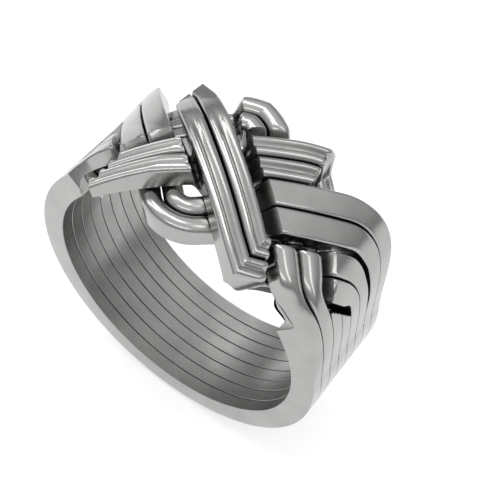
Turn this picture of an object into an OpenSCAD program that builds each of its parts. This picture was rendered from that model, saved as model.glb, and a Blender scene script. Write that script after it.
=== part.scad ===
// Interlocking puzzle ring. Eight closed bands lie side by side in the shank and
// weave over and under each other, in four pairs, to make the knot on top.
// Frame: origin at the centre of the finger bore, +Y along the finger to the back,
// +Z up through the middle of the knot, +X to the right. Millimetres.
//
// The weave is laid out on a diagonal grid [p, q]. A step in p runs right and to the
// front, a step in q runs right and to the back. The grid is wrapped round the finger,
// so n = p + q is the position round the ring, and n grows all the way along a route.

/* [Shank] */
// Diameter of the finger bore, US ring size 10
bore_d = 19.8; // [19:0.1:20.6]
// Radial thickness of the shank
wall = 1.75; // [1.65:0.05:1.9]
// Width of the eight bands side by side
shank_w = 8.2; // [8:0.1:8.4]
// Gap between neighbouring bands
seam_gap = 0.06; // [0.04:0.01:0.1]

/* [Knot] */
// Height of the top of the knot above the bore
knot_h = 3.5; // [3.4:0.05:3.7]
// Radial gap between a band and the band that it crosses
cross_gap = 0.14; // [0.1:0.01:0.16]
// Thickness of the thin bands where a crossing lies low on a shoulder
lap_h = 1.05; // [1:0.05:1.15]
// Height of the loops at the back above the bore
loop_h = 3.05; // [2.8:0.05:3.2]
// Length of one grid step round the finger
step_u = 2.95; // [2.9:0.05:3]
// Length of one grid step along the finger
step_y = 2.27; // [2.24:0.01:2.3]
// Gap between the two bands of a pair, in grid steps
pair_gap = 0.03; // [0.02:0.005:0.04]

/* [Resolution] */
// Length of one station along a straight run, in grid steps
station = 0.1; // [0.05, 0.1]
// Stations in a right-angled turn
turn_stations = 8; // [6:2:12]
// Facets round the bore of the knot and round the turned shank
round_facets = 180; // [120:60:240]

/* [Hidden] */

bore_r = bore_d / 2;
shank_r = bore_r + wall;
top_r = bore_r + knot_h;
// Radius at which step_u is measured
wrap_r = 13.3;
degrees_per_step = step_u / wrap_r * 180 / PI;
// Bands in the ring, and their pitch in the shank
band_count = 8;
pitch = shank_w / band_count;
// Millimetres along the finger for one unit across a run that follows the shank
across = step_y * sqrt(2);

// Positions round the ring where the sweep of the knot meets the turned shank
left_end = -5.2;
right_end = 6.2;
// Length of the sweep hidden inside the turned shank, in grid steps, and its inset there
tuck = 0.12;
inset = 0.01;
// Past this position, on both sides, the front of the ring is one flat face
flat_front_from = 2.6;
// Positions over which the gap in a pair becomes the seam of the shank
gap_from = 3.4;
gap_length = 0.8;

// Shoulders: where the left one starts and its length, where the right one ends and its
// length, and the rounding along the front of the right one
left_foot = -4.1;
left_rise = 3.25;
// How far the left shoulder moves out for each millimetre towards the back
back_lift = 0.15;
right_foot = 6.4;
right_rise = 3.2;
rounding = 1.8;
rounding_from = 2.6;
rounding_length = 0.8;

// Beside the notch on the right, the tops of bands 3 and 4 follow the line p = constant
notch_from = 3.9;
notch_shift = 0.5;

// How far the sweep reaches inside the bore before the bore is cut
sunk = 0.3;
cut_length = 2 * shank_w;
// Radial thickness of the loops at the back, and the fall of the end of the lower front bar
loop_wall = 2.15;
bar_fall = 0.75;
// Named radii: tops of lower bands, undersides of upper bands, and the same at a lap
low = shank_r;
high = shank_r + cross_gap;
lap = bore_r + lap_h;
over_lap = lap + cross_gap;
loop = bore_r + loop_h;
loop_under = loop - loop_wall;
// Top of the end of the lower front bar, before it climbs to the top of the knot
bar_end = top_r - bar_fall;

// Widths of a pair of bands, in grid steps
shank_pair = 2 * pitch / across;
narrow = 0.62;
hidden = 0.68;
bar = 0.84;
broad = 0.9;
wide = 0.98;

// Positions along the finger of the four pairs in the shank
pair_y = [for (i = [0:3]) (2 * i - 3) * pitch];
function on_p(p, y) = [p, p + y / step_y];
function on_q(q, y) = [q - y / step_y, q];
function in_shank(n, y) = [(n - y / step_y) / 2, (n + y / step_y) / 2];

// Corners of each pair's route: [position, radius of the turn, sharpness of its outside]
CORNERS = [
    [
        [on_p(-1.35, pair_y[0]), 0.5, 1],
        [[-1.08, 1], 0.5, 0.25],
        [on_q(0.97, pair_y[0]), 0.7, 0]
    ],
    [
        [on_q(-2, pair_y[1]), 0.5, 0],
        [[0, -1.93], 0.5, 1],
        [[0, 1.85], 0.5, 0.7],
        [on_q(1.85, pair_y[1]), 0.5, 0]
    ],
    [
        [on_p(-1.95, pair_y[2]), 0.5, 0],
        [[-1.95, -0.06], 0.5, 0.5],
        [[1.9, 0], 0.5, 0.8],
        [on_p(1.92, pair_y[2]), 0.9, 0]
    ],
    [
        [on_q(-1.13, pair_y[3]), 0.55, 1],
        [[0.95, -1.1], 0.5, 0],
        [on_p(0.9, 3.95), 1.05, 0],
        [in_shank(5.7, pair_y[3]), 0.5, 0]
    ]
];

// Profiles [n, value] of each pair. A value holds before the first point and after the
// last, and a smooth step joins each point to the next. Tops never rise above the
// envelope of the knot.
TOPS = [
    [
        [-3.2, top_r], [-2.95, low], [-0.7, low], [-0.5, loop], [0.3, loop], [0.55, low],
        [2.4, low], [2.6, top_r]
    ],
    [
        [-4.5, top_r], [-4.3, lap], [-2.15, lap], [-1.95, top_r], [-0.6, top_r], [-0.45, low],
        [0.45, low], [0.6, top_r], [1.8, top_r], [2.1, low], [3, low], [3.25, lap],
        [4.4, lap], [4.5, top_r]
    ],
    [
        [-4.4, top_r], [-4.2, lap], [-2.15, lap], [-1.9, bar_end], [-0.7, top_r], [2.2, top_r],
        [2.35, low], [3.4, low], [3.6, top_r]
    ],
    [[-1.9, top_r], [-1.6, low], [1.4, low], [1.6, top_r]]
];
UNDERS = [
    [
        [-4.2, bore_r], [-3.9, over_lap], [-2.8, over_lap], [-2.45, bore_r], [-0.7, bore_r],
        [-0.5, loop_under], [0.3, loop_under], [0.55, bore_r], [2.1, bore_r], [2.5, high],
        [3.95, high], [4.25, bore_r]
    ],
    [
        [-2.45, bore_r], [-2.15, high], [-0.6, high], [-0.2, bore_r], [0.3, bore_r],
        [0.55, high], [1.5, high], [1.8, bore_r]
    ],
    [
        [-1.95, bore_r], [-1.5, high], [1.85, high], [2.3, bore_r], [2.9, bore_r],
        [3.2, over_lap], [4.6, over_lap], [4.9, bore_r]
    ],
    [
        [-4.4, bore_r], [-4.1, over_lap], [-3, over_lap], [-2.8, high], [-1.95, high],
        [-1.6, bore_r], [1.15, bore_r], [1.45, high], [3.4, high], [3.75, bore_r]
    ]
];
WIDTHS = [
    [
        [-3.7, shank_pair], [-3.2, bar], [-2.9, bar], [-2.7, narrow], [-0.6, narrow],
        [-0.4, bar], [2.2, bar], [2.4, wide], [2.9, wide], [4, shank_pair]
    ],
    [[-3.4, shank_pair], [-2.6, narrow], [-2.2, narrow], [-1.95, bar], [3.6, bar], [4.2, shank_pair]],
    [
        [-3.4, shank_pair], [-1.9, hidden], [-1.4, bar], [2.1, bar], [2.4, hidden],
        [3.3, bar], [3.6, broad], [4, broad], [4.6, shank_pair]
    ],
    [
        [-4.2, shank_pair], [-3.6, wide], [-1.6, wide], [-1.3, bar], [1.3, bar],
        [1.6, wide], [3.6, wide], [5.4, shank_pair]
    ]
];

// Shapes of a band's top: [depth of the groove, drop at the edges, where the edges start]
flat = [0, 0.05, 0.9];
soft = [0, 0.2, 0.7];
ridged = [0.3, 0.38, 0.45];
round_top = [0, 0.55, 0];
hump = [0, 0.6, 0.1];
SHAPES = [
    [
        [-4, flat], [-3.4, soft], [-1, soft], [-0.5, round_top], [0.5, round_top],
        [1.5, hump], [3, hump], [4.4, flat]
    ],
    [[-3, flat], [-2, ridged], [2, ridged], [3, soft], [4.6, flat]],
    [
        [-3, flat], [-1.8, soft], [-1.2, soft], [-0.2, ridged], [2, ridged], [2.6, soft],
        [4, soft], [5, flat]
    ],
    [
        [-4, flat], [-3.4, soft], [-1.4, soft], [-0.7, round_top], [1, round_top],
        [1.5, soft], [3.4, soft], [4.6, flat]
    ]
];
// Places across a band where its top is worked out, from edge to edge
TOP_PLACES = [-1, -0.6, 0, 0.6, 1];

function clamp01(x) = min(1, max(0, x));
function smooth(x) = let (t = clamp01(x)) t * t * (3 - 2 * t);
function mix(a, b, t) = a + (b - a) * t;
function unit(v) = v / norm(v);
function left_of(a) = [-sin(a), cos(a)];
function heading(v) = atan2(v[1], v[0]);

// Value of a profile at n
function profile(f, n, i = 0) =
    n <= f[i][0] || i == len(f) - 1 ? f[i][1]
    : n > f[i + 1][0] ? profile(f, n, i + 1)
    : mix(f[i][1], f[i + 1][1], smooth((n - f[i][0]) / (f[i + 1][0] - f[i][0])));

// Outer skin of the knot and its shoulders, lower along the front of the right one
function envelope(n, y) =
    let (front = 1 - clamp01((y + shank_w / 2) / rounding))
    let (edge = mix(1, sqrt(1 - front * front), smooth((n - rounding_from) / rounding_length)))
    let (left = clamp01((n - left_foot + back_lift * max(0, y)) / left_rise))
    let (right = smooth((right_foot - n) / right_rise))
    mix(shank_r, top_r, n < 0 ? left : right * edge);

// Top of a band at a point p, n, y of its section at position m. Beside the notch, bands
// 3 and 4 come up along the front edge of bands 5 and 6, which is a line of constant p.
function top_at(pair, m, p, n, y) =
    let (place = pair == 1 && m > notch_from ? 2 * p - notch_shift : m)
    min(profile(TOPS[pair], place), envelope(n, y));

// Drop below the top at v, from -1 to 1 across a band: a groove between round edges
function drop(v, shape) =
    let (s = abs(v), t = clamp01((s - shape[2]) / (1 - shape[2])))
    (s < 0.5 ? shape[0] * (1 + cos(360 * s)) / 2 : 0) + shape[1] * (1 - sqrt(1 - t * t));

// Underside of a band in the sweep: an underside at the bore reaches inside it, to be cut
function under_at(pair, m) =
    let (r = profile(UNDERS[pair], m))
    r - sunk * clamp01((loop_under - r) / (loop_under - bore_r));

// Stations [position, heading, stretch] along a route. Positions on a straight leg are
// whole stations, and half stations where a profile has a point.
function has_point(f, n) = len([for (point = f) if (abs(point[0] - n) < 0.001) 1]) > 0;
function leg(a, b, pair) =
    let (n_a = a[0] + a[1], n_b = b[0] + b[1], half = station / 2)
    [for (k = [ceil(n_a / half + 0.01):floor(n_b / half - 0.01)])
        if (k % 2 == 0 || has_point(TOPS[pair], k * half) || has_point(UNDERS[pair], k * half))
            [mix(a, b, (k * half - n_a) / (n_b - n_a)), heading(b - a), 1]];
function bend(before, corner, after) =
    let (v = corner[0], r = corner[1], sharpness = corner[2])
    let (d0 = unit(v - before), d1 = unit(after - v), side = sign(cross(d0, d1)))
    let (a0 = heading(d0), angle = acos(d0 * d1), count = 2 * ceil(turn_stations * angle / 180))
    let (centre = v - d0 * r * tan(angle / 2) + side * r * left_of(a0))
    [for (j = [0:count])
        let (turned = angle * j / count, a = a0 + side * turned)
        let (stretch = mix(1, 1 / cos(min(turned, angle - turned)), sharpness))
        [centre - side * r * stretch * left_of(a), a, stretch]];
function stations(pair) =
    let (first = in_shank(left_end - tuck, pair_y[pair]))
    let (last = in_shank(right_end + tuck, pair_y[pair]))
    let (c = CORNERS[pair], v = concat([first], [for (corner = c) corner[0]], [last]))
    let (bends = [for (i = [0:len(c) - 1]) bend(v[i], c[i], v[i + 2])])
    [
        [first, 45, 1],
        each leg(first, bends[0][0][0], pair),
        for (i = [0:len(c) - 1])
            let (end = bends[i][len(bends[i]) - 1][0])
            let (next = i == len(c) - 1 ? last : bends[i + 1][0][0])
            each concat(bends[i], leg(end, next, pair)),
        [last, 45, 1]
    ];

// One section of a band, from the underside round the top and back
function ring_points(s, pair, side) =
    let (m = s[0][0] + s[0][1], joint = m < left_end + tuck || m > right_end - tuck)
    let (margin = joint ? inset : 0, width = profile(WIDTHS[pair], m))
    let (gap = mix(pair_gap, seam_gap / across, clamp01((abs(m) - gap_from) / gap_length)))
    let (half = (width / 2 - gap) / 2 - margin, offset = side * width / 4)
    let (shape = profile(SHAPES[pair], m), direction = left_of(s[1]) * s[2])
    let (under = joint ? bore_r + inset : under_at(pair, m))
    let (places = concat([[-1, false]], [for (v = TOP_PLACES) [v, true]], [[1, false]]))
    [for (place = places)
        let (g = s[0] + direction * (offset + place[0] * half), n = g[0] + g[1])
        let (free_y = (g[1] - g[0]) * step_y)
        let (y = abs(n) > flat_front_from ? max(free_y, -shank_w / 2) : free_y)
        let (top = joint ? shank_r - inset : top_at(pair, m, g[0], n, y) - drop(place[0], shape))
        let (r = place[1] ? top : under, angle = n * degrees_per_step)
        [r * sin(angle), y, r * cos(angle)]];

module knot_part(pair, side) {
    path = stations(pair);
    m = len(TOP_PLACES) + 2;
    last = len(path) - 1;
    points = [for (s = path) each ring_points(s, pair, side)];
    faces = [
        [for (j = [0:m - 1]) m - 1 - j],
        [for (j = [0:m - 1]) last * m + j],
        for (i = [0:last - 1], j = [0:m - 1])
            let (a = i * m + j, b = i * m + (j + 1) % m)
            each [[a, b, b + m], [a, b + m, a + m]]
    ];
    difference() {
        polyhedron(points, faces, convexity = 10);
        rotate([90, 0, 0]) cylinder(r = bore_r, h = cut_length, center = true, $fn = round_facets);
    }
}

// The turned shank: an exact arc from the right shoulder round to the left one
module shank_part(y) {
    right = right_end * degrees_per_step;
    left = left_end * degrees_per_step;
    rotate([-90, right - 90, 0])
        rotate_extrude(angle = 360 + left - right, $fn = round_facets)
            translate([bore_r, y - (pitch - seam_gap) / 2])
                square([wall, pitch - seam_gap]);
}

module band(number) {
    pair = floor((number - 1) / 2);
    side = number % 2 == 0 ? 1 : -1;
    union() {
        shank_part(pair_y[pair] + side * pitch / 2);
        knot_part(pair, side);
    }
}

module band_1_front() { color("silver") band(1); }
module band_2() { color("gainsboro") band(2); }
module band_3() { color("silver") band(3); }
module band_4() { color("gainsboro") band(4); }
module band_5() { color("silver") band(5); }
module band_6() { color("gainsboro") band(6); }
module band_7() { color("silver") band(7); }
module band_8_back() { color("gainsboro") band(8); }

band_1_front();
band_2();
band_3();
band_4();
band_5();
band_6();
band_7();
band_8_back();
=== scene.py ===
"""Looks for the eight-band puzzle ring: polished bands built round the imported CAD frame.

Each band is one closed loop swept along the same route as its CAD solid. Routes are laid
out on a diagonal grid (p, q) wrapped round the finger: a step in p runs right and to the
front, a step in q runs right and to the back. p + q is the position round the ring.
"""
import math

import bmesh
import bpy
from mathutils import Matrix, Vector


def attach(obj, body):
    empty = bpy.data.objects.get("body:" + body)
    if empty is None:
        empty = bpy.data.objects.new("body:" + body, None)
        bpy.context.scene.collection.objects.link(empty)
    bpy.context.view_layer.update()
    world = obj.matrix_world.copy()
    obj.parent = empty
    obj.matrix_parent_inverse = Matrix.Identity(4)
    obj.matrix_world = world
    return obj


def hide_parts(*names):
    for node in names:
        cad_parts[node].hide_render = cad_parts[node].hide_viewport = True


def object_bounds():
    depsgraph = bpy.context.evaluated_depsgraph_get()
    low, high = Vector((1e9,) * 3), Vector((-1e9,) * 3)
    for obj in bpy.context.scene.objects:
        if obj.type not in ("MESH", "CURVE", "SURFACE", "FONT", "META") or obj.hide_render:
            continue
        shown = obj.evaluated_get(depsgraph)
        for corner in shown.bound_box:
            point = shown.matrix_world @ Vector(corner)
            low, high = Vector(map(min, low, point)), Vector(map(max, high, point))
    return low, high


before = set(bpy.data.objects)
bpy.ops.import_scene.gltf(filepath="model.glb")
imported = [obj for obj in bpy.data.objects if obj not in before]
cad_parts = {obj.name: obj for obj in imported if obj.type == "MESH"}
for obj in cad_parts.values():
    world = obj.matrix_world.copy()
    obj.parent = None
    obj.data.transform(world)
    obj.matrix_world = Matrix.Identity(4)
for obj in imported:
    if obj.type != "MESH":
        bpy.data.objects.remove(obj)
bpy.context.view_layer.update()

# ---------------------------------------------------------------- sizes, in millimetres
BORE_R = 9.9
SHANK_R = BORE_R + 1.75
TOP_R = BORE_R + 3.5
SHANK_W = 8.2
SEAM_GAP = 0.06
CROSS_GAP = 0.14
STEP_U = 2.95
STEP_Y = 2.27
WRAP_R = 13.3
PAIR_GAP = 0.03
SHANK_BEVEL = 0.03

BAND_COUNT = 8
PITCH = SHANK_W / BAND_COUNT
ACROSS = STEP_Y * math.sqrt(2)
LEFT_END = -5.2
RIGHT_END = 6.2
FULL_TURN = 2 * math.pi * WRAP_R / STEP_U

# Shoulders, in grid steps: where the left one starts and its length, how far it moves out
# for each millimetre towards the back, and where the right one ends and its length
LEFT_FOOT = -4.1
LEFT_RISE = 3.25
BACK_LIFT = 0.15
RIGHT_FOOT = 6.4
RIGHT_RISE = 3.2
# The rounding along the front of the right shoulder, and where it starts
ROUNDING = 1.8
ROUNDING_FROM = 2.6
ROUNDING_LENGTH = 0.8
# Past this position, on both sides, the front of the ring is one flat face
FLAT_FRONT_FROM = 2.6
# Positions over which the gap in a pair becomes the seam of the shank
GAP_FROM = 3.4
GAP_LENGTH = 0.8
# Beside the notch on the right, the tops of bands 3 and 4 follow a line of constant p
NOTCH_PAIR = 1
NOTCH_FROM = 3.9
NOTCH_SHIFT = 0.5

# Stations along a route and points round a section
STATION = 0.04
TURN_STATIONS = 24
SHANK_STATION = 0.12
TOP_POINTS = 25

# Named radii for the tops and undersides of the bands
LOW = SHANK_R
HIGH = SHANK_R + CROSS_GAP
LAP = BORE_R + 1.05
OVER_LAP = LAP + CROSS_GAP
LOOP = BORE_R + 3.05
LOOP_UNDER = BORE_R + 0.9
BAR_END = TOP_R - 0.75

# Widths of a pair of bands, in grid steps
SHANK_PAIR = 2 * PITCH / ACROSS
NARROW = 0.62
HIDDEN = 0.68
BAR = 0.84
BROAD = 0.9
WIDE = 0.98


# ---------------------------------------------------------------- routes on the grid
def on_p(p, y):
    return Vector((p, p + y / STEP_Y))


def on_q(q, y):
    return Vector((q - y / STEP_Y, q))


def in_shank(n, y):
    return Vector(((n - y / STEP_Y) / 2, (n + y / STEP_Y) / 2))


PAIR_Y = [(2 * i - 3) * PITCH for i in range(4)]
# Corners of each route: position, radius of the turn, and how sharp its outside is
CORNERS = [
    [
        (on_p(-1.35, PAIR_Y[0]), 0.5, 1),
        (Vector((-1.08, 1)), 0.5, 0.25),
        (on_q(0.97, PAIR_Y[0]), 0.7, 0),
    ],
    [
        (on_q(-2, PAIR_Y[1]), 0.5, 0),
        (Vector((0, -1.93)), 0.5, 1),
        (Vector((0, 1.85)), 0.5, 0.7),
        (on_q(1.85, PAIR_Y[1]), 0.5, 0),
    ],
    [
        (on_p(-1.95, PAIR_Y[2]), 0.5, 0),
        (Vector((-1.95, -0.06)), 0.5, 0.5),
        (Vector((1.9, 0)), 0.5, 0.8),
        (on_p(1.92, PAIR_Y[2]), 0.9, 0),
    ],
    [
        (on_q(-1.13, PAIR_Y[3]), 0.55, 1),
        (Vector((0.95, -1.1)), 0.5, 0),
        (on_p(0.9, 3.95), 1.05, 0),
        (in_shank(5.7, PAIR_Y[3]), 0.5, 0),
    ],
]
# Profiles along p + q: the value holds before the first point and after the last one
TOPS = [
    [
        (-3.2, TOP_R), (-2.95, LOW), (-0.62, LOW), (-0.42, LOOP), (0.3, LOOP), (0.55, LOW),
        (2.4, LOW), (2.6, TOP_R),
    ],
    [
        (-4.5, TOP_R), (-4.3, LAP), (-2.15, LAP), (-1.95, TOP_R), (-0.6, TOP_R), (-0.45, LOW),
        (0.45, LOW), (0.6, TOP_R), (1.72, TOP_R), (2.02, LOW), (3, LOW), (3.25, LAP), (4.4, LAP),
        (4.5, TOP_R),
    ],
    [
        (-4.4, TOP_R), (-4.2, LAP), (-2.15, LAP), (-1.9, BAR_END), (-0.7, TOP_R), (2.2, TOP_R),
        (2.35, LOW), (3.4, LOW), (3.6, TOP_R),
    ],
    [(-1.9, TOP_R), (-1.6, LOW), (1.4, LOW), (1.6, TOP_R)],
]
UNDERS = [
    [
        (-4.2, BORE_R), (-3.9, OVER_LAP), (-2.8, OVER_LAP), (-2.45, BORE_R), (-0.7, BORE_R),
        (-0.5, LOOP_UNDER), (0.3, LOOP_UNDER), (0.55, BORE_R), (2.1, BORE_R), (2.5, HIGH),
        (3.95, HIGH), (4.25, BORE_R),
    ],
    [
        (-2.45, BORE_R), (-2.15, HIGH), (-0.6, HIGH), (-0.2, BORE_R), (0.3, BORE_R), (0.55, HIGH),
        (1.5, HIGH), (1.8, BORE_R),
    ],
    [
        (-1.95, BORE_R), (-1.5, HIGH), (1.85, HIGH), (2.3, BORE_R), (2.9, BORE_R),
        (3.2, OVER_LAP), (4.6, OVER_LAP), (4.9, BORE_R),
    ],
    [
        (-4.4, BORE_R), (-4.1, OVER_LAP), (-3, OVER_LAP), (-2.8, HIGH), (-1.95, HIGH),
        (-1.6, BORE_R), (1.15, BORE_R), (1.45, HIGH), (3.4, HIGH), (3.75, BORE_R),
    ],
]
WIDTHS = [
    [
        (-3.7, SHANK_PAIR), (-3.2, BAR), (-2.9, BAR), (-2.7, NARROW), (-0.6, NARROW), (-0.4, BAR),
        (2.2, BAR), (2.4, WIDE), (2.9, WIDE), (4, SHANK_PAIR),
    ],
    [
        (-3.4, SHANK_PAIR), (-2.6, NARROW), (-2.2, NARROW), (-1.95, BAR), (3.6, BAR),
        (4.2, SHANK_PAIR),
    ],
    [
        (-3.4, SHANK_PAIR), (-1.9, HIDDEN), (-1.4, BAR), (2.1, BAR), (2.4, HIDDEN), (3.3, BAR),
        (3.6, BROAD), (4, BROAD), (4.6, SHANK_PAIR),
    ],
    [
        (-4.2, SHANK_PAIR), (-3.6, WIDE), (-1.6, WIDE), (-1.3, BAR), (1.3, BAR), (1.6, WIDE),
        (3.6, WIDE), (5.4, SHANK_PAIR),
    ],
]
# Shapes of a band's top: depth of the groove, drop at the edge, and where the edge starts
FLAT = (0, 0.05, 0.9)
SOFT = (0, 0.2, 0.7)
RIDGED = (0.3, 0.38, 0.45)
ROUND = (0, 0.55, 0)
HUMP = (0, 0.6, 0.1)
SHAPES = [
    [
        (-4, FLAT), (-3.4, SOFT), (-1, SOFT), (-0.5, ROUND), (0.5, ROUND), (1.5, HUMP), (3, HUMP),
        (4.4, FLAT),
    ],
    [(-3, FLAT), (-2, RIDGED), (2, RIDGED), (3, SOFT), (4.6, FLAT)],
    [
        (-3, FLAT), (-1.8, SOFT), (-1.2, SOFT), (-0.2, RIDGED), (2, RIDGED), (2.6, SOFT),
        (4, SOFT), (5, FLAT),
    ],
    [
        (-4, FLAT), (-3.4, SOFT), (-1.4, SOFT), (-0.7, ROUND), (1, ROUND), (1.5, SOFT),
        (3.4, SOFT), (4.6, FLAT),
    ],
]


def clamp01(x):
    return min(1, max(0, x))


def smooth(x):
    t = clamp01(x)
    return t * t * (3 - 2 * t)


def mix(a, b, t):
    return a + (b - a) * t


def profile(points, n):
    """Value at n: level between equal points, smooth steps between the others."""
    if n <= points[0][0]:
        return points[0][1]
    for (n0, a), (n1, b) in zip(points, points[1:]):
        if n <= n1:
            t = smooth((n - n0) / (n1 - n0))
            if isinstance(a, tuple):
                return tuple(mix(x, y, t) for x, y in zip(a, b))
            return mix(a, b, t)
    return points[-1][1]


def envelope(n, y):
    """Outer skin of the knot and its shoulders, lower along the front of the right one."""
    if n < 0:
        rise = (n - LEFT_FOOT + BACK_LIFT * max(0, y)) / LEFT_RISE
        return mix(SHANK_R, TOP_R, clamp01(rise))
    front = 1 - clamp01((y + SHANK_W / 2) / ROUNDING)
    rounded = math.sqrt(1 - front * front)
    edge = mix(1, rounded, smooth((n - ROUNDING_FROM) / ROUNDING_LENGTH))
    return mix(SHANK_R, TOP_R, smooth((RIGHT_FOOT - n) / RIGHT_RISE) * edge)


def stations(pair):
    """(position, heading, stretch) all the way round the band, corners rounded."""
    y = PAIR_Y[pair]
    corners = CORNERS[pair]
    v = [in_shank(LEFT_END, y), *(c[0] for c in corners), in_shank(RIGHT_END, y)]
    out = []
    start = v[0]
    for i in range(1, len(v)):
        d0 = (v[i] - v[i - 1]).normalized()
        last = i == len(v) - 1
        d1 = d0 if last else (v[i + 1] - v[i]).normalized()
        angle = d0.angle(d1)
        radius, sharp = (0, 0) if last else corners[i - 1][1:]
        reach = radius * math.tan(angle / 2)
        end = v[i] - d0 * reach
        heading = math.atan2(d0.y, d0.x)
        count = max(1, math.ceil((end - start).length / STATION))
        out += [(start.lerp(end, k / count), heading, 1) for k in range(count)]
        if not last:
            side = 1 if d0.cross(d1) > 0 else -1
            centre = end + side * radius * left_of(heading)
            turns = 2 * math.ceil(TURN_STATIONS * angle / math.pi)
            for j in range(turns):
                turned = angle * j / turns
                a = heading + side * turned
                stretch = mix(1, 1 / math.cos(min(turned, angle - turned)), sharp)
                out.append((centre - side * radius * stretch * left_of(a), a, stretch))
            start = v[i] + d1 * reach
    span = FULL_TURN - (RIGHT_END - LEFT_END)
    count = math.ceil(span / SHANK_STATION)
    out += [(in_shank(RIGHT_END + span * k / count, y), math.pi / 4, 1) for k in range(count)]
    return out


def left_of(a):
    return Vector((-math.sin(a), math.cos(a)))


def wrap(n, y, radius):
    angle = n * STEP_U / WRAP_R
    return Vector((radius * math.sin(angle), y, radius * math.cos(angle))) / 1000


def drop(v, shape):
    """Drop below the top at v, from -1 to 1 across the band: a groove between round edges."""
    groove, edge, edge_from = shape
    s = abs(v)
    hollow = groove * (0.5 + 0.5 * math.cos(2 * math.pi * s)) if s < 0.5 else 0
    t = clamp01((s - edge_from) / (1 - edge_from))
    return hollow + edge * (1 - math.sqrt(1 - t * t))


def section(position, heading, stretch, pair, side):
    """Points round one section of a band: over the top, then back along the underside."""
    n = position.x + position.y
    in_knot = n < RIGHT_END
    width = profile(WIDTHS[pair], n) if in_knot else SHANK_PAIR
    shape = profile(SHAPES[pair], n) if in_knot else FLAT
    gap = mix(PAIR_GAP, SEAM_GAP / ACROSS, clamp01((abs(n) - GAP_FROM) / GAP_LENGTH))
    half = (width / 2 - gap) / 2
    offset = side * width / 4
    under = profile(UNDERS[pair], n) if in_knot else BORE_R
    across = left_of(heading) * stretch

    def point(v, height_of):
        g = position + across * (offset + v * half)
        own_n = g.x + g.y
        y = (g.y - g.x) * STEP_Y
        if abs(own_n) > FLAT_FRONT_FROM:
            y = max(y, -SHANK_W / 2)
        return wrap(own_n, y, height_of(own_n, y, g.x))

    def top(m, y, p):
        if not in_knot:
            return SHANK_R
        beside_notch = pair == NOTCH_PAIR and n > NOTCH_FROM
        place = 2 * p - NOTCH_SHIFT if beside_notch else n
        return min(profile(TOPS[pair], place), envelope(m, y))

    points = []
    for k in range(TOP_POINTS):
        v = -math.cos(math.pi * k / (TOP_POINTS - 1))
        fall = drop(v, shape)
        points.append(point(v, lambda m, y, p: top(m, y, p) - fall))
    edge = 1 - SHANK_BEVEL / (half * ACROSS)
    for v, rise in ((1, SHANK_BEVEL), (edge, 0), (-edge, 0), (-1, SHANK_BEVEL)):
        points.append(point(v, lambda m, y, p: under + rise))
    return points


def band_mesh(name, number):
    """The closed mesh of one band, with polished and satin faces, and seam faces painted near-black as
    shade between bands.
    """
    pair = (number - 1) // 2
    side = 1 if number % 2 == 0 else -1
    end_wall = {1: -1, BAND_COUNT: 1}.get(number)
    bm = bmesh.new()
    route = stations(pair)
    rings = [[bm.verts.new(p) for p in section(*station, pair, side)] for station in route]
    count = len(rings[0])
    walls = {TOP_POINTS - 1: 1, count - 1: -1}
    for i, ring in enumerate(rings):
        following = rings[(i + 1) % len(rings)]
        position = route[i][0]
        in_shank_run = abs(position.x + position.y) > SEAM_FROM
        for j in range(count):
            k = (j + 1) % count
            face = bm.faces.new((ring[j], following[j], following[k], ring[k]))
            face.smooth = True
            if j in walls:
                beside_partner = walls[j] == -side
                hidden = in_shank_run and walls[j] != end_wall
                # Walls beside the partner band, and the inner walls in the shank, get the near-black
                # painted shade of the seams
                face.material_index = SEAM if beside_partner or hidden else POLISHED
            elif j >= TOP_POINTS:
                face.material_index = SATIN
    bmesh.ops.recalc_face_normals(bm, faces=bm.faces)
    mesh = bpy.data.meshes.new(name)
    bm.to_mesh(mesh)
    bm.free()
    mesh.set_sharp_from_angle(angle=math.radians(35))
    return mesh


# ---------------------------------------------------------------- materials
# Material slots; the SEAM slot holds the near-black painted shade for the gaps between bands
POLISHED, SATIN, SEAM = range(3)
SEAM_FROM = 4.3


def add_node(tree, kind, **inputs):
    node = tree.nodes.new(kind)
    for name, value in inputs.items():
        node.inputs[name.replace("_", " ")].default_value = value
    return node


def coordinates(tree, stretch):
    """Object coordinates in millimetres, scaled by stretch along each axis."""
    place = tree.nodes.new("ShaderNodeTexCoord")
    mapping = tree.nodes.new("ShaderNodeMapping")
    mapping.inputs["Scale"].default_value = [1000 * s for s in stretch]
    tree.links.new(place.outputs["Object"], mapping.inputs["Vector"])
    return mapping.outputs["Vector"]


def ramp(tree, source, low, high):
    """Colour or grey between low and high as source runs from 0.3 to 0.7."""
    node = tree.nodes.new("ShaderNodeValToRGB")
    node.color_ramp.elements[0].position = 0.3
    node.color_ramp.elements[1].position = 0.7
    node.color_ramp.elements[0].color = (*low, 1)
    node.color_ramp.elements[1].color = (*high, 1)
    tree.links.new(source, node.inputs["Fac"])
    return node.outputs["Color"]


def metal(name, dark, light, smoothest, roughest, scratch_stretch, scratch_height):
    """Solid silver: cloudy tone, patchy polish and fine scratches along one direction."""
    mat = bpy.data.materials.new(name)
    mat.use_nodes = True
    tree = mat.node_tree
    shader = tree.nodes["Principled BSDF"]
    shader.inputs["Metallic"].default_value = 1
    clouds = add_node(tree, "ShaderNodeTexNoise", Scale=0.5, Detail=4)
    tree.links.new(coordinates(tree, (1, 1, 1)), clouds.inputs["Vector"])
    tree.links.new(ramp(tree, clouds.outputs["Fac"], dark, light), shader.inputs["Base Color"])
    scratches = add_node(tree, "ShaderNodeTexNoise", Scale=1, Detail=6, Roughness=0.7)
    tree.links.new(coordinates(tree, scratch_stretch), scratches.inputs["Vector"])
    grey = ramp(tree, scratches.outputs["Fac"], (smoothest,) * 3, (roughest,) * 3)
    tree.links.new(grey, shader.inputs["Roughness"])
    bump = add_node(tree, "ShaderNodeBump", Strength=0.4, Distance=scratch_height / 1000)
    tree.links.new(scratches.outputs["Fac"], bump.inputs["Height"])
    tree.links.new(bump.outputs["Normal"], shader.inputs["Normal"])
    return mat


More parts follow.
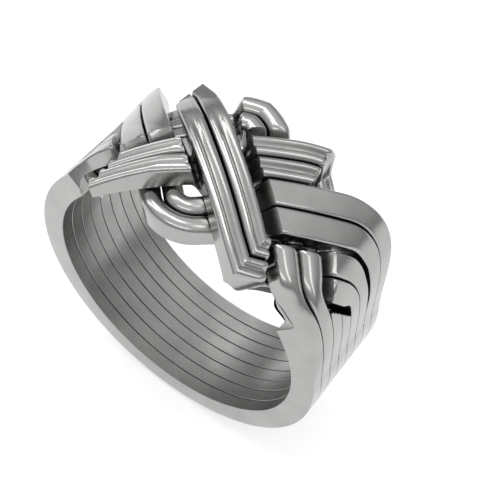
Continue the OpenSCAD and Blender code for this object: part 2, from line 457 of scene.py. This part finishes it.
FINISHES = [
    metal("mirror_silver", (0.35, 0.35, 0.345), (0.40, 0.40, 0.39), 0.17, 0.27, (3, 9, 3), 0.004),
    metal("satin_silver", (0.29, 0.29, 0.285), (0.36, 0.36, 0.35), 0.24, 0.36, (0.6, 14, 0.6), 0.01),
    # Near-black painted shade for the seam walls between bands, where shade falls
    metal("painted_seam_shade", (0.02, 0.02, 0.02), (0.05, 0.05, 0.05), 0.4, 0.6, (2, 2, 2), 0.01),
]


# ---------------------------------------------------------------- pieces
for number in range(1, BAND_COUNT + 1):
    node = {1: "band_1_front", BAND_COUNT: "band_8_back"}.get(number, f"band_{number}")
    piece = bpy.data.objects.new(f"polished_{node}", band_mesh(node, number))
    bpy.context.scene.collection.objects.link(piece)
    for finish in FINISHES:
        piece.data.materials.append(finish)
    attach(piece, node)
    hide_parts(node)

# ---------------------------------------------------------------- stage, light, camera
box_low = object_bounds()[0]
HALF_FLOOR = 1
FLOOR_GAP = 0.0005
floor_corners = [(x * HALF_FLOOR, y * HALF_FLOOR, 0) for x, y in ((-1, -1), (1, -1), (1, 1), (-1, 1))]
floor_mesh = bpy.data.meshes.new("floor")
floor_mesh.from_pydata(floor_corners, [], [(0, 1, 2, 3)])
floor = bpy.data.objects.new("floor", floor_mesh)
floor.location.z = box_low.z - FLOOR_GAP
bpy.context.scene.collection.objects.link(floor)
floor_mat = bpy.data.materials.new("floor_white")
floor_mat.use_nodes = True
floor_shader = floor_mat.node_tree.nodes["Principled BSDF"]
floor_shader.inputs["Base Color"].default_value = (0.6, 0.6, 0.6, 1)
floor_shader.inputs["Emission Color"].default_value = (1, 1, 1, 1)
floor_shader.inputs["Emission Strength"].default_value = 0.5
floor.data.materials.append(floor_mat)

# The sky is brighter overhead than at the horizon
world = bpy.data.worlds.new("studio")
world.use_nodes = True
sky = world.node_tree
direction = sky.nodes.new("ShaderNodeTexCoord")
height = sky.nodes.new("ShaderNodeSeparateXYZ")
sky.links.new(direction.outputs["Generated"], height.inputs["Vector"])
fade = sky.nodes.new("ShaderNodeValToRGB")
fade.color_ramp.elements[0].position = 0
fade.color_ramp.elements[0].color = (0.25, 0.25, 0.25, 1)
fade.color_ramp.elements[1].position = 0.7
fade.color_ramp.elements[1].color = (1, 1, 1, 1)
sky.links.new(height.outputs["Z"], fade.inputs["Fac"])
sky.links.new(fade.outputs["Color"], sky.nodes["Background"].inputs["Color"])
sky.nodes["Background"].inputs["Strength"].default_value = 1
bpy.context.scene.world = world


def direction_of(azimuth, elevation):
    """Unit vector from the ring. Azimuth 0 is in front, a quarter turn is on the right."""
    level = math.cos(elevation)
    return Vector((math.sin(azimuth) * level, -math.cos(azimuth) * level, math.sin(elevation)))


def softbox(name, azimuth, elevation, distance, width, height, power):
    """A rectangular light that faces the ring. Angles are in degrees, the rest in metres and watts."""
    light = bpy.data.lights.new(name, "AREA")
    light.shape = "RECTANGLE"
    light.size = width
    light.size_y = height
    light.energy = power
    lamp = bpy.data.objects.new(name, light)
    towards = direction_of(math.radians(azimuth), math.radians(elevation))
    lamp.location = towards * distance
    lamp.rotation_euler = towards.to_track_quat("Z", "Y").to_euler()
    bpy.context.scene.collection.objects.link(lamp)


softbox("key", -110, 65, 0.3, 0.06, 0.3, 0.2)
softbox("left", -80, 35, 0.3, 0.05, 0.3, 0.14)
softbox("right", 85, 50, 0.3, 0.04, 0.3, 0.1)
softbox("front", 10, 40, 0.35, 0.3, 0.04, 0.12)

camera_data = bpy.data.cameras.new("camera")
camera_data.lens = 74.9
camera_data.sensor_width = 36
camera_data.clip_start = 0.001
camera = bpy.data.objects.new("camera", camera_data)
azimuth = math.radians(28)
elevation = math.radians(56)
roll = Matrix.Rotation(math.radians(9.7), 3, "Z")
distance = 0.07355
target = Vector((1.66, 2.64, 1.05)) / 1000
away = direction_of(azimuth, elevation)
camera.location = target + away * distance
camera.rotation_euler = (away.to_track_quat("Z", "Y").to_matrix() @ roll).to_euler()
bpy.context.scene.collection.objects.link(camera)
bpy.context.scene.camera = camera

bpy.context.scene.view_settings.view_transform = "Standard"
